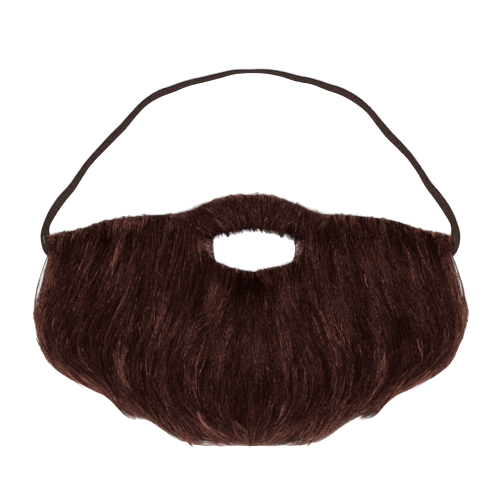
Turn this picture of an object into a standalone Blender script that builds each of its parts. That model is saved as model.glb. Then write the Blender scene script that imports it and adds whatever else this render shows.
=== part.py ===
"""Fake beard with an elastic head strap, lying flat on its back with the hair up.

The hair is sewn to a flat crescent of net with a mouth hole. It is built as four hanks: one for each cheek,
one for the chin and one for the moustache. Each hank is a padded head of hair with tapered locks fused to it.
The strap is one flat elastic band whose ends are sewn between the net and the hair at the beard's corners.

Metres, +Z up out of the face of the beard, +Y towards the strap, origin under the middle of the whole.
"""

from collections import namedtuple

import bmesh
import bpy
import numpy as np

MM = 0.001

# Driving dimensions
NET_THICK = 1.2 * MM
SEAM_GAP = 0.3 * MM
NET_REACH = 0.44  # how far down the hair the net goes, as a share of the strand
NET_INSET = 0.012  # how far below the roots its upper edge lies, in the same share
BRIDGE_INSET = 0.05  # the same on the moustache's short strands
STRAP_WIDTH = 6.35 * MM
STRAP_THICK = 0.9 * MM
STRAP_RAMP = 16 * MM  # length over which the strap climbs from the floor onto the net
STRAP_FLAT = 8 * MM  # length of strap on the net
STRAP_POINTS = 72
MOUTH_SHIFT = 2.9 * MM
PAD_SHARE = 0.8  # height of a padded head, as a share of its locks' height
PAD_STOPS = (0.0, 0.04, 0.11, 0.22, 0.38, 0.54, 0.7, 0.86, 1.0)  # its rows, from the roots to its far edge
PAD_LEAST = 2.2 * MM
CHIN_HALF = 0.2  # where the chin's hank meets the cheeks', as a share of half the beard
HANK_GAP = 0.0018  # half the gap between two hanks, in the same share
STRAP_CLEARANCE = 2.0 * MM  # how far the hair is lifted where it crosses the strap's end
STRAP_CLEAR_NEAR = 10 * MM
STRAP_CLEAR_FAR = 17 * MM
FLOOR_GAP = 0.35 * MM  # lowest point of a lock that runs out past the padded head
LAY_DOWN = 0.12  # stretch of strand over which the hair comes down from the net to the floor
SHARP_EDGE = np.radians(50)

# How the strands run, from the beard's corner to its middle. Each row is one strand: its root, the point
# that bows it outwards and its tip, in mm, the hair's depth there, the share of it that stands at the root
# already, and how far the root and the tip follow the mouth, which sits a little to the right
Strand = namedtuple("Strand", "root_x root_y bow_x bow_y tip_x tip_y depth at_root root_mouth tip_mouth")
BEARD_STRANDS = [
    Strand(-128.5, 10.0, -150.4, -37.0, -131.5, -68.5, 9.0, 0.4, 0.0, 0.0),
    Strand(-121.5, 16.0, -143.0, -42.5, -121.5, -76.0, 13.5, 0.3, 0.0, 0.0),
    Strand(-110.0, 19.3, -127.0, -47.0, -108.0, -84.5, 17.0, 0.3, 0.0, 0.0),
    Strand(-94.5, 24.4, -108.0, -48.0, -93.5, -91.0, 20.0, 0.3, 0.0, 0.0),
    Strand(-78.0, 27.0, -89.5, -50.5, -81.5, -101.5, 22.0, 0.3, 0.0, 0.0),
    Strand(-61.5, 28.7, -71.5, -53.5, -65.0, -108.5, 24.0, 0.3, 0.0, 0.0),
    Strand(-46.0, 30.3, -52.0, -53.5, -50.5, -119.0, 25.0, 0.4, 0.0, 0.0),
    Strand(-36.5, 31.6, -39.0, -53.5, -37.5, -124.0, 25.0, 0.65, 0.0, 0.0),
    Strand(-31.0, 3.0, -27.0, -60.0, -24.7, -123.5, 25.0, 0.45, 1.0, 0.0),
    Strand(-18.0, -6.8, -13.7, -63.5, -12.4, -124.2, 26.0, 0.35, 1.0, 0.0),
    Strand(0.0, -10.5, 0.0, -66.5, 0.0, -124.4, 27.0, 0.35, 1.0, 0.0),
]
MOUSTACHE_STRANDS = [
    Strand(-35.2, 33.4, -33.2, 21.5, -32.0, 9.4, 13.0, 0.5, 0.0, 0.8),
    Strand(-27.5, 37.4, -24.0, 26.0, -22.0, 13.6, 16.5, 0.4, 0.0, 1.0),
    Strand(-19.0, 40.2, -17.5, 27.0, -15.5, 15.2, 16.5, 0.35, 0.0, 1.0),
    Strand(-10.0, 41.3, -9.5, 28.5, -8.0, 16.6, 16.0, 0.35, 0.0, 1.0),
    Strand(0.0, 41.4, 0.0, 29.0, 0.0, 17.3, 16.0, 0.35, 0.0, 1.0),
]
# The net's edge round the mouth, clockwise from its left corner, in mm from the mouth's middle
MOUTH_EDGE = [
    (-28.0, 4.0),
    (-26.3, 11.8),
    (-14.0, 15.6),
    (0.0, 17.3),
    (14.0, 15.6),
    (25.5, 12.0),
    (28.0, 4.2),
    (24.5, -1.6),
    (16.0, -5.4),
    (7.0, -7.2),
    (0.0, -9.8),
    (-8.0, -8.4),
    (-17.0, -4.8),
    (-24.8, -1.2),
]
# The net's rounded corner under the strap's end
CORNER_TAB = [(-129.5, 13.4), (-134.2, 12.6), (-135.3, 8.0), (-133.6, 4.0), (-129.0, 2.0)]

# The strap from the beard's left corner over the top to its right one: place in mm, and lean in degrees,
# which is 0 where the band lies flat and 90 where it would stand on its edge
Bend = namedtuple("Bend", "x y lean")
STRAP_BENDS = [
    Bend(-132.4, 6.8, 0),
    Bend(-133.6, 12.6, 8),
    Bend(-132.9, 20.4, 46),
    Bend(-128.8, 29.2, 32),
    Bend(-123.0, 37.8, 28),
    Bend(-116.2, 45.7, 40),
    Bend(-110.4, 54.3, 49),
    Bend(-104.3, 62.7, 52),
    Bend(-90.1, 77.9, 42),
    Bend(-82.8, 85.3, 44),
    Bend(-76.0, 93.2, 51),
    Bend(-68.8, 100.6, 52),
    Bend(-60.1, 106.3, 45),
    Bend(-50.4, 110.0, 46),
    Bend(-40.6, 113.6, 54),
    Bend(-30.6, 116.0, 56),
    Bend(-20.4, 118.5, 58),
    Bend(-10.3, 120.9, 65),
    Bend(0.0, 121.4, 71),
    Bend(10.4, 121.3, 65),
    Bend(20.6, 119.6, 59),
    Bend(30.6, 116.8, 52),
    Bend(40.8, 114.7, 54),
    Bend(50.6, 111.3, 46),
    Bend(60.4, 107.9, 43),
    Bend(69.4, 102.8, 45),
    Bend(77.4, 96.1, 52),
    Bend(84.0, 88.1, 46),
    Bend(90.6, 80.1, 38),
    Bend(97.9, 72.7, 44),
    Bend(104.8, 65.0, 50),
    Bend(110.8, 56.5, 51),
    Bend(116.3, 47.6, 42),
    Bend(122.7, 39.5, 27),
    Bend(128.6, 30.9, 27),
    Bend(133.1, 21.6, 45),
    Bend(134.2, 12.6, 8),
    Bend(132.9, 6.8, 0),
]
STRAP_END = (-132.5 * MM, 6.8 * MM)

# Tiers of locks: how many lie side by side, from where to where on the strand they run, by how much their
# ends differ, and how high they lie, as a share of the hair's depth
Tier = namedtuple("Tier", "name lanes start end ragged height")
CHEEK_TIERS = [Tier("under", 9, 0.34, 1.0, 0.03, 0.84), Tier("upper", 8, 0.03, 0.86, 0.2, 1.0)]
CHIN_TIERS = [Tier("under", 5, 0.34, 1.0, 0.03, 0.84), Tier("upper", 4, 0.03, 0.84, 0.2, 1.0)]
MOUSTACHE_TIERS = [Tier("short", 11, 0.05, 1.0, 0.03, 1.0)]

# A lock's sections: place along it, width as a share of its full width, thickness in mm, and its height there
# as a share of its full height, because it rises out of the padded head at its root
Section = namedtuple("Section", "place width thick risen")
LONG_LOCK = [
    Section(0.0, 0.6, 7.5, 0.8),
    Section(0.16, 0.86, 6.7, 0.91),
    Section(0.34, 1.0, 5.7, 1.0),
    Section(0.52, 0.98, 4.7, 1.0),
    Section(0.7, 0.96, 3.8, 1.0),
    Section(0.85, 0.86, 3.0, 1.0),
    Section(0.94, 0.66, 2.5, 1.0),
    Section(1.0, 0.26, 2.2, 1.0),
]
TRIMMED_LOCK = [
    Section(0.0, 0.6, 7.5, 0.8),
    Section(0.2, 0.9, 7.0, 0.94),
    Section(0.4, 1.0, 6.2, 1.0),
    Section(0.65, 0.96, 5.4, 1.0),
    Section(0.88, 0.88, 4.8, 1.0),
    Section(1.0, 0.7, 4.5, 1.0),
]
LOCK_SIDES = 6
LOCK_OVERLAP = 1.2  # a lock's width, as a share of its lane's
LOCK_INSET = 0.96  # the same where the lane ends the hank
LOCK_WAVE = 0.9 * MM  # how far a lock may lie above or below its tier
LANE_JITTER = 0.2  # how far a lane's edge may stray, as a share of its width
START_JITTER = 0.04

# The two lengths of hair. rise is the stretch of strand over which it reaches full height, fall_from is
# where it begins to thin, fall is the share of its height lost by the tip, and reach is where its padded
# head ends
Hair = namedtuple("Hair", "strands lock rise fall_from fall reach on_net_only")
LONG_HAIR = Hair(BEARD_STRANDS, LONG_LOCK, 0.24, 0.42, 0.88, 0.94, False)
TRIMMED_HAIR = Hair(MOUSTACHE_STRANDS, TRIMMED_LOCK, 0.4, 0.6, 0.35, 1.0, True)

# The hanks: the hair's kind, where each begins and ends across the beard, its padded head's columns, its
# tiers, and the seed of its locks' unevenness
Hank = namedtuple("Hank", "name hair left right columns tiers seed")
HANKS = [
    Hank("cheek_hair_left", LONG_HAIR, -1.0, -CHIN_HALF - HANK_GAP, 15, CHEEK_TIERS, 11),
    Hank("cheek_hair_right", LONG_HAIR, CHIN_HALF + HANK_GAP, 1.0, 15, CHEEK_TIERS, 12),
    Hank("chin_hair", LONG_HAIR, -CHIN_HALF + HANK_GAP, CHIN_HALF - HANK_GAP, 9, CHIN_TIERS, 13),
    Hank("moustache_hair", TRIMMED_HAIR, -1.0, 1.0, 17, MOUSTACHE_TIERS, 14),
]


def clear_scene():
    """Removes every object that the file opened with."""
    for thing in list(bpy.data.objects):
        bpy.data.objects.remove(thing, do_unlink=True)


def material(name, colour, roughness):
    """One Principled material with a plain colour."""
    finish = bpy.data.materials.new(name)
    finish.use_nodes = True
    surface = finish.node_tree.nodes["Principled BSDF"]
    surface.inputs["Base Color"].default_value = (*colour, 1.0)
    surface.inputs["Roughness"].default_value = roughness
    surface.inputs["Metallic"].default_value = 0.0
    return finish


def smooth_step(x):
    """0 below 0, 1 above 1, and a smooth rise between them."""
    x = np.clip(x, 0.0, 1.0)
    return x * x * (3.0 - 2.0 * x)


def between_rows(table, place):
    """The table's row at each place, counted from 0, on a Catmull-Rom curve through the rows."""
    rows = np.array(table, float)
    last = len(rows) - 1
    place = np.clip(np.asarray(place, float), 0, last)
    row = np.minimum(place.astype(int), last - 1)
    t = (place - row)[..., None]
    before, here, after, later = (rows[np.clip(row + step, 0, last)] for step in (-1, 0, 1, 2))
    bend = 2 * before - 5 * here + 4 * after - later
    twist = 3 * here - before - 3 * after + later
    return 0.5 * (2 * here + (after - before) * t + bend * t**2 + twist * t**3)


def on_strand(strands, across, along):
    """Where a strand passes, the hair's depth there, and the share of it that stands at the root.

    across runs from -1 at the left end to 1 at the right, along from 0 at the root to 1 at the tip. The
    strand is a quadratic curve from its root, bowed by its middle point, to its tip, mirrored on the right.
    """
    across, along = np.broadcast_arrays(across, along)
    row = between_rows(strands, (1.0 - np.abs(across)) * (len(strands) - 1))
    root, bow, tip = row[..., 0:2], row[..., 2:4], row[..., 4:6]
    t = along[..., None]
    point = (1 - t) ** 2 * root + 2 * t * (1 - t) * bow + t**2 * tip
    side = np.where(across < 0, 1.0, -1.0)
    follow = row[..., 8] * (1 - along) + row[..., 9] * along
    return side * point[..., 0] * MM + follow * MOUTH_SHIFT, point[..., 1] * MM, row[..., 6] * MM, row[..., 7]


def swell(hair, along, at_root):
    """The hair's height along a strand, as a share of its depth: a quick rise, full, then a long fall."""
    rise = at_root + (1.0 - at_root) * np.sin(np.clip(along / hair.rise, 0.0, 1.0) * np.pi / 2)
    return rise * (1.0 - hair.fall * smooth_step((along - hair.fall_from) / (1.0 - hair.fall_from)))


def underside(hair, x, y, along):
    """The lowest that the hair goes: clear over the net, down to the floor past it, lifted over the strap."""
    over_net = NET_THICK + SEAM_GAP
    if hair.on_net_only:
        return np.full_like(x, over_net)
    past_net = NET_REACH + LAY_DOWN / 2
    low = over_net * (1.0 - smooth_step((along - past_net) / LAY_DOWN))
    away = np.hypot(np.abs(x) + STRAP_END[0], y - STRAP_END[1])
    lift = 1.0 - smooth_step((away - STRAP_CLEAR_NEAR) / (STRAP_CLEAR_FAR - STRAP_CLEAR_NEAR))
    return low + STRAP_CLEARANCE * lift


def mesh_object(name, points, faces, finish, collection):
    """An object from points and faces, smooth, with its faces turned outwards."""
    mesh = bpy.data.meshes.new(name)
    mesh.from_pydata(points.tolist(), [], faces)
    shape = bmesh.new()
    shape.from_mesh(mesh)
    bmesh.ops.recalc_face_normals(shape, faces=shape.faces)
    shape.to_mesh(mesh)
    shape.free()
    mesh.materials.append(finish)
    thing = bpy.data.objects.new(name, mesh)
    collection.objects.link(thing)
    return thing


def tube_faces(rings, sides):
    """The faces of a tube of rings with so many sides each, closed at both ends."""
    last = (rings - 1) * sides
    faces = [list(range(sides)), list(range(last, last + sides))]
    for start in range(0, last, sides):
        for side in range(sides):
            after = (side + 1) % sides
            faces.append([start + side, start + after, start + after + sides, start + side + sides])
    return faces


def padded_head(hank, finish, collection):
    """The padded head of a hank: a grid of strands from end to end, with a top, an underside and walls.

    The top follows the hair's height, and the underside the net and the floor.
    """
    hair = hank.hair
    stops = np.array(PAD_STOPS) * hair.reach
    across, along = np.meshgrid(np.linspace(hank.left, hank.right, hank.columns), stops, indexing="ij")
    x, y, depth, at_root = on_strand(hair.strands, across, along)
    low = underside(hair, x, y, along)
    top = low + np.maximum(PAD_SHARE * depth * swell(hair, along, at_root), PAD_LEAST)
    points = np.concatenate([np.stack([x, y, top], -1), np.stack([x, y, low], -1)]).reshape(-1, 3)
    upper = np.arange(x.size).reshape(x.shape)
    lower = upper + upper.size
    quads = np.stack([upper[:-1, :-1], upper[1:, :-1], upper[1:, 1:], upper[:-1, 1:]], -1).reshape(-1, 4)
    rims = []
    for sheet in (upper, lower):
        rims.append(np.concatenate([sheet[:, 0], sheet[-1, 1:], sheet[-2::-1, -1], sheet[0, -2:0:-1]]))
    walls = np.stack([rims[0], rims[1], np.roll(rims[1], -1), np.roll(rims[0], -1)], -1)
    faces = np.concatenate([quads, quads[:, ::-1] + upper.size, walls]).tolist()
    return mesh_object(hank.name, points, faces, finish, collection)


def lock_of_hair(name, hair, lane, tier, chance, finish, collection):
    """One tapered lock: sections of a flat six-sided tube laid along the strands, closed at both ends."""
    middle, left, right = lane
    place, width, thick, risen = np.array(hair.lock).T
    start = tier.start + chance.uniform(0.0, START_JITTER)
    end = tier.end - chance.uniform(0.0, tier.ragged)
    along = start + (end - start) * place
    turn = 2 * np.pi * (np.arange(LOCK_SIDES) + 0.5) / LOCK_SIDES
    reach = np.where(np.cos(turn) < 0, left, right) * np.cos(turn)
    x, y, _, _ = on_strand(hair.strands, middle + reach[None, :] * width[:, None], along[:, None])
    _, _, depth, at_root = on_strand(hair.strands, middle, along)
    crown = depth * swell(hair, along, at_root) * tier.height * risen + chance.uniform(-LOCK_WAVE, LOCK_WAVE)
    low = underside(hair, x, y, along[:, None])
    half = thick * MM / 2
    centre = np.maximum(low.min(1) + crown - half, low.max(1) + FLOOR_GAP + half)
    z = centre[:, None] + half[:, None] * np.sin(turn)[None, :]
    points = np.stack([x, y, z], -1).reshape(-1, 3)
    return mesh_object(name, points, tube_faces(len(place), LOCK_SIDES), finish, collection)


def lanes_between(left_end, right_end, count, chance):
    """Side-by-side lanes of uneven width: each one's middle, and how far its lock reaches left and right.

    Locks overlap their neighbours, but the outermost ones stay just inside the hank's ends.
    """
    step = (right_end - left_end) / count
    edges = np.linspace(left_end, right_end, count + 1)
    edges[1:-1] += chance.uniform(-LANE_JITTER, LANE_JITTER, count - 1) * step
    for lane in range(count):
        half = (edges[lane + 1] - edges[lane]) / 2
        left = half * (LOCK_INSET if lane == 0 else LOCK_OVERLAP)
        right = half * (LOCK_INSET if lane == count - 1 else LOCK_OVERLAP)
        yield edges[lane] + half, left, right


def outer_shell(mesh):
    """Leaves only the outer skin: a pocket shut in between locks is a skin of its own, and is filled.

    Two skins that touch at a point or along an edge still count as two, so faces are followed only across
    edges that have just two.
    """
    shape = bmesh.new()
    shape.from_mesh(mesh)
    skins = []
    waiting = set(shape.faces)
    while waiting:
        skin = [waiting.pop()]
        for face in skin:
            plain = [edge for edge in face.edges if len(edge.link_faces) == 2]
            near = {other for edge in plain for other in edge.link_faces} & waiting
            waiting -= near
            skin.extend(near)
        skins.append(skin)
    skins.sort(key=len)
    for skin in skins[:-1]:
        bmesh.ops.delete(shape, geom=skin, context="FACES")
    shape.to_mesh(mesh)
    shape.free()


def fused(head, locks):
    """Joins the locks to their padded head as one solid, and removes them."""
    for lock in locks:
        joint = head.modifiers.new("fuse " + lock.name, "BOOLEAN")
        joint.operation = "UNION"
        joint.solver = "EXACT"
        joint.object = lock
        bpy.context.view_layer.update()
        evaluated = head.evaluated_get(bpy.context.evaluated_depsgraph_get())
        whole = bpy.data.meshes.new_from_object(evaluated)
        head.modifiers.clear()
        head.data = whole
        bpy.data.objects.remove(lock, do_unlink=True)
    outer_shell(head.data)
    head.data.shade_smooth()
    head.data.set_sharp_from_angle(angle=SHARP_EDGE)
    return head


def hank_of_hair(hank, finish, parts, workings):
    """A hank of hair: its padded head with every tier of locks fused to it."""
    chance = np.random.default_rng(hank.seed)
    head = padded_head(hank, finish, parts)
    locks = []
    for tier in hank.tiers:
        for number, lane in enumerate(lanes_between(hank.left, hank.right, tier.lanes, chance)):
            label = f"{hank.name} {tier.name} {number}"
            locks.append(lock_of_hair(label, hank.hair, lane, tier, chance, finish, workings))
    return fused(head, locks)


def closed_spline(curve, points):
    """Adds one closed straight-sided outline to a flat curve."""
    spline = curve.splines.new("POLY")
    spline.points.add(len(points) - 1)
    for knot, (x, y) in zip(spline.points, points):
        knot.co = (x, y, 0.0, 1.0)
    spline.use_cyclic_u = True


def edge_points(strands, across, along):
    """Points in a row across the strands, as pairs of x and y."""
    x, y, _, _ = on_strand(strands, across, along)
    return list(zip(x, y))


def net_outline():
    """The net's outer edge: up the left cheek, over the moustache, down the right cheek and back below."""
    end = 1.0 - NET_INSET
    beside_moustache = -0.32
    cheek = np.linspace(-end, beside_moustache, 12)
    left = edge_points(BEARD_STRANDS, cheek, NET_INSET)
    bridge = edge_points(MOUSTACHE_STRANDS, np.linspace(-end, end, 15), BRIDGE_INSET)
    right = edge_points(BEARD_STRANDS, -cheek[::-1], NET_INSET)
    below = edge_points(BEARD_STRANDS, np.linspace(end, -end, 33), NET_REACH)
    tab = [(x * MM, y * MM) for x, y in CORNER_TAB]
    right_tab = [(-x, y) for x, y in tab]
    return left + bridge + right + right_tab + below + tab[::-1]


def net_backing(finish, parts):
    """The flat crescent of net with its mouth hole, as a filled outline of half its thickness each way."""
    curve = bpy.data.curves.new("net", "CURVE")
    curve.dimensions = "2D"
    curve.fill_mode = "BOTH"
    curve.extrude = NET_THICK / 2
    closed_spline(curve, net_outline())
    closed_spline(curve, [(x * MM + MOUTH_SHIFT, y * MM) for x, y in MOUTH_EDGE])
    drawn = bpy.data.objects.new("net", curve)
    parts.objects.link(drawn)
    bpy.context.view_layer.update()
    mesh = bpy.data.meshes.new_from_object(drawn.evaluated_get(bpy.context.evaluated_depsgraph_get()))
    bpy.data.objects.remove(drawn, do_unlink=True)
    shape = bmesh.new()
    shape.from_mesh(mesh)
    bmesh.ops.remove_doubles(shape, verts=shape.verts, dist=0.01 * MM)
    bmesh.ops.translate(shape, verts=shape.verts, vec=(0.0, 0.0, NET_THICK / 2))
    bmesh.ops.recalc_face_normals(shape, faces=shape.faces)
    shape.to_mesh(mesh)
    shape.free()
    mesh.materials.clear()
    mesh.materials.append(finish)
    backing = bpy.data.objects.new("net_backing", mesh)
    parts.objects.link(backing)
    return backing


def elastic_strap(finish, parts):
    """The flat elastic band: a rectangle carried along the strap's path, leaning as the path's rows say.

    It rests on its lower edge on the floor, and climbs onto the net over the last stretch at each end.
    """
    path = between_rows(STRAP_BENDS, np.linspace(0, len(STRAP_BENDS) - 1, STRAP_POINTS))
    place = path[:, :2] * MM
    lean = np.radians(path[:, 2])
    run = np.gradient(place, axis=0)
    run /= np.linalg.norm(run, axis=1)[:, None]
    square = np.stack([-run[:, 1], run[:, 0]], -1)
    length = np.concatenate([[0.0], np.cumsum(np.linalg.norm(np.diff(place, axis=0), axis=1))])
    to_end = np.minimum(length, length[-1] - length)
    climb = (NET_THICK + SEAM_GAP) * (1.0 - smooth_step((to_end - STRAP_FLAT) / STRAP_RAMP))
    lowest = STRAP_WIDTH / 2 * np.sin(lean) + STRAP_THICK / 2 * np.cos(lean)
    middle = np.column_stack([place, lowest + climb])
    wide = np.column_stack([square * np.cos(lean)[:, None], np.sin(lean)]) * STRAP_WIDTH / 2
    thick = np.column_stack([-square * np.sin(lean)[:, None], np.cos(lean)]) * STRAP_THICK / 2
    corners = [middle + wide + thick, middle - wide + thick, middle - wide - thick, middle + wide - thick]
    points = np.stack(corners, 1).reshape(-1, 3)
    return mesh_object("elastic_strap", points, tube_faces(len(path), len(corners)), finish, parts)


def build():
    """Makes the beard's pieces in their own collection."""
    clear_scene()
    parts = bpy.data.collections.new("fake_beard")
    workings = bpy.data.collections.new("locks")
    for group in (parts, workings):
        bpy.context.scene.collection.children.link(group)
    workings.hide_render = True
    hair = material("dark brown synthetic hair", (0.035, 0.011, 0.009), 0.55)
    trimmed = material("trimmed brown synthetic hair", (0.04, 0.014, 0.011), 0.55)
    net = material("brown net", (0.05, 0.02, 0.016), 0.9)
    elastic = material("woven elastic", (0.03, 0.016, 0.015), 0.75)

    net_backing(net, parts)
    for hank in HANKS:
        hank_of_hair(hank, hair if hank.hair is LONG_HAIR else trimmed, parts, workings)
    elastic_strap(elastic, parts)


build()
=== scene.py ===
"""Looks of a fake beard with an elastic head strap: brown synthetic hair knotted to a crescent of net.

The hair is strewn as single fibres in clumps. Every fibre is a three-sided tube laid on the beard's own map of
strands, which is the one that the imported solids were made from: across runs from -1 at the left corner to 1 at
the right one, and along from 0 at the roots to 1 at the tips.
"""

from collections import namedtuple

import bpy
import numpy as np
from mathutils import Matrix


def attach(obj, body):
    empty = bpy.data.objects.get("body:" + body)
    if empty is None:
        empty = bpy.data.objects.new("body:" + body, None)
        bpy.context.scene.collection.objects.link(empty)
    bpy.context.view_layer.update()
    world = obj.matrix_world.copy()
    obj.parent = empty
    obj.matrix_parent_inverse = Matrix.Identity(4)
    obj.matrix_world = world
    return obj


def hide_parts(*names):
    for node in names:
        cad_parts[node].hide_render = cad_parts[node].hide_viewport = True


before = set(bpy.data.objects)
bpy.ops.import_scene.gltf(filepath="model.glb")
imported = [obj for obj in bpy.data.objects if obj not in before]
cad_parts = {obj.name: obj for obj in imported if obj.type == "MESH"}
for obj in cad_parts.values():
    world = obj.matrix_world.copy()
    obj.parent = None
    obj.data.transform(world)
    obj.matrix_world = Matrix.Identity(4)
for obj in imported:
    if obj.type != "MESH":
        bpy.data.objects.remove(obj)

MM = 0.001
TURN = 2 * np.pi
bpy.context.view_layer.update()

# The map of strands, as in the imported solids: root, bow and tip in mm, depth of hair there, the share of it that
# stands at the root, and how far root and tip follow the mouth, which sits a little to the right
Strand = namedtuple("Strand", "root_x root_y bow_x bow_y tip_x tip_y depth at_root root_mouth tip_mouth",
                    defaults=(0.0, 0.0))
BEARD_STRANDS = [
    Strand(-128.5, 10.0, -150.4, -37.0, -131.5, -68.5, 9.0, 0.4),
    Strand(-121.5, 16.0, -143.0, -42.5, -121.5, -76.0, 13.5, 0.3),
    Strand(-110.0, 19.3, -127.0, -47.0, -108.0, -84.5, 17.0, 0.3),
    Strand(-94.5, 24.4, -108.0, -48.0, -93.5, -91.0, 20.0, 0.3),
    Strand(-78.0, 27.0, -89.5, -50.5, -81.5, -101.5, 22.0, 0.3),
    Strand(-61.5, 28.7, -71.5, -53.5, -65.0, -108.5, 24.0, 0.3),
    Strand(-46.0, 30.3, -52.0, -53.5, -50.5, -119.0, 25.0, 0.4),
    Strand(-36.5, 31.6, -39.0, -53.5, -37.5, -124.0, 25.0, 0.5),
    Strand(-31.0, 3.0, -27.0, -60.0, -24.7, -123.5, 25.0, 0.45, 1.0, 0.0),
    Strand(-18.0, -6.8, -13.7, -63.5, -12.4, -124.2, 26.0, 0.35, 1.0, 0.0),
    Strand(0.0, -10.5, 0.0, -66.5, 0.0, -124.4, 27.0, 0.35, 1.0, 0.0),
]
MOUSTACHE_STRANDS = [
    Strand(-35.2, 33.4, -33.2, 21.5, -32.0, 9.4, 13.0, 0.5, 0.0, 0.8),
    Strand(-27.5, 37.4, -24.0, 26.0, -22.0, 13.6, 16.5, 0.4, 0.0, 1.0),
    Strand(-19.0, 40.2, -17.5, 27.0, -15.5, 15.2, 16.5, 0.35, 0.0, 1.0),
    Strand(-10.0, 41.3, -9.5, 28.5, -8.0, 16.6, 16.0, 0.35, 0.0, 1.0),
    Strand(0.0, 41.4, 0.0, 29.0, 0.0, 17.3, 16.0, 0.35, 0.0, 1.0),
]
MOUTH_SHIFT = 2.9 * MM
NET_TOP = 1.5 * MM
NET_REACH = 0.44  # where on the strands the net ends, as a share
LAY_DOWN = 0.12  # the share of the strands over which the hair comes down from the net to the floor
FLOOR_GAP = 0.3 * MM  # least height of a fibre's middle over the floor
STRAP_END = (-132.5 * MM, 6.8 * MM)
STRAP_CLEARANCE = 2.0 * MM  # how far the strap's end lifts the hair
STRAP_CLEAR = (10 * MM, 17 * MM)  # from its end, the distances where the hair begins and ends coming down again

# The two lengths of hair: where it reaches full height, where it begins to thin, the share of height lost by the
# tip, the drift of the brushed strands outwards from the map's own lines at even stops along them, in shares of
# half the beard, the share of that drift at even stops from the middle to the corner, the length in mm that along
# and across stand for, and whether the left and right are two hanks that don't meet in the middle
Hair = namedtuple("Hair", "strands rise fall_from fall on_net_only drift room long wide parted")
LONG_HAIR = Hair(
    BEARD_STRANDS, 0.24, 0.42, 0.88, False,
    (0.0, 0.03, 0.1, 0.2, 0.28, 0.24, -0.06), (0.0, 0.95, 0.67, 0.46, 0.4, 0.45, 0.5, 0.4, 0.25, 0.0),
    125.0, 130.0, False,
)
TRIMMED_HAIR = Hair(
    MOUSTACHE_STRANDS, 0.4, 0.6, 0.35, True,
    (0.0, -0.12, -0.26, -0.4, -0.52), (0.0, 0.1, 0.35, 0.6, 0.8), 24.0, 33.0, False,
)
# The locks that cross from the cheeks to the moustache's ends, outermost first, mirrored on the right
CORNER_HAIR = Hair(
    [
        Strand(-54.0, 28.6, -47.0, 20.0, -37.0, 6.5, 18.5, 0.5, 0.0, 0.4),
        Strand(-45.0, 30.4, -38.5, 24.0, -31.0, 9.6, 17.5, 0.55, 0.0, 0.6),
        Strand(-37.0, 33.0, -32.0, 27.0, -24.5, 12.8, 16.3, 0.55, 0.0, 0.8),
        Strand(-30.5, 36.2, -26.0, 31.0, -18.5, 15.4, 16.8, 0.45, 0.0, 1.0),
    ], 0.3, 0.6, 0.35, True, (0.0, 0.0), (0.0, 0.0), 26.0, 20.0, True,
)
# The hair over the strap's sewn ends, outermost first, mirrored on the right
END_HAIR = Hair(
    [
        Strand(-131.6, 13.0, -132.4, 8.0, -130.6, 2.4, 5.5, 0.7),
        Strand(-127.5, 14.8, -129.5, 7.0, -128.6, -3.0, 9.0, 0.6),
        Strand(-120.5, 17.2, -124.5, 6.0, -124.0, -9.0, 13.5, 0.45),
    ], 0.3, 0.7, 0.3, True, (0.0, 0.0), (0.0, 0.0), 16.0, 12.0, True,
)
# The thin hair over the net at the mouth's corners, outermost first, mirrored on the right
MOUTH_CORNER_HAIR = Hair(
    [
        Strand(-36.5, 14.5, -36.0, 6.0, -34.0, -3.0, 22.0, 0.5, 1.0, 1.0),
        Strand(-32.0, 14.0, -33.0, 6.0, -30.3, -3.0, 10.0, 0.5, 1.0, 1.0),
        Strand(-26.4, 12.4, -27.6, 6.0, -25.2, -3.5, 5.0, 0.5, 1.0, 1.0),
    ], 0.3, 0.6, 0.2, True, (0.0, 0.0), (0.0, 0.0), 17.0, 9.0, True,
)
# How much shorter the long hair's tips are than its map, in mm at even stops from the middle to the corner
TIP_TRIM = [1.8, 1.9, 1.4, 0.9, 0.9, 1.5, 1.9, 2.5, 1.7, 1.8, 2.3, 2.3, 2.4, -0.4, -3.2, -2.0, -0.8, 0.6, -0.4, 1.0,
            1.2, -1.8, -4.0, -4.6, -4.8, -4.8]
FULLNESS = 0.93  # height of the brushed hair, as a share of the hair's depth in the map
ROOT_LEAD = 1.2  # how far outside the map's ends the first fibres start, in mm
UNDERCOAT_END = 0.94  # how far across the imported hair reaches, so that only fibres make the beard's sides
FIBRE_SIDES = 3
PAINTED_HIGHLIGHT_SHARE = 0.14  # share of fibres painted lighter than their neighbours: painted highlights, as on fibres that catch the light
EVEN_STEPS = (0.7548776662, 0.5698402910)  # steps that fill a square evenly, however many are taken
THREAD_RINGS = 15
TONES = 64  # columns of the hair's tone chart, from darkest to lightest
GLINT = 1.9  # how much the painted glints change a crimped fibre's tone along it, as a share of the tone chart

# A strewing of clumps: how many, fibres in each, rings in a fibre, the clump's width and the fibre's length and
# width in mm, how far under the top it may lie in mm, how unruly it is, where on the strands their middles lie,
# and how much lighter they are
Clumps = namedtuple("Clumps", "count fibres rings wide long thick deep unruly band light", defaults=((0.0, 1.0), 0.0))

# Soft patches of the long hair, alike on both sides, partly painted light and shade: the dark ones under the mouth
# and along the cheeks' upper edge are painted shade, the light band down the middle of each cheek is a painted sheen,
# and the rest are uneven tone. Columns: how far from the middle and up in mm, their half width and half height in mm,
# and how much lighter they are than the rest
SHADE_SHEEN_AND_TONE_PATCHES = [
    (0, -15, 24, 6, -0.14), (0, -28, 9, 17, -0.34), (46, -7, 15, 7, -0.15), (23, -20, 5, 13, 0.2),
    (38, -28, 5, 15, -0.2), (33, -6, 5, 9, -0.08), (101, -48, 15, 19, -0.17), (87, -72, 6, 12, 0.16),
    (80, 1, 8, 18, 0.1), (58, -47, 5, 14, 0.12), (0, -87, 30, 10, -0.17), (34, -96, 8, 8, -0.08),
    (104, 12, 24, 7, -0.15), (66, 24, 30, 4, -0.08), (72, -60, 8, 14, -0.07), (18, -111, 26, 7, 0.12),
]

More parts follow.
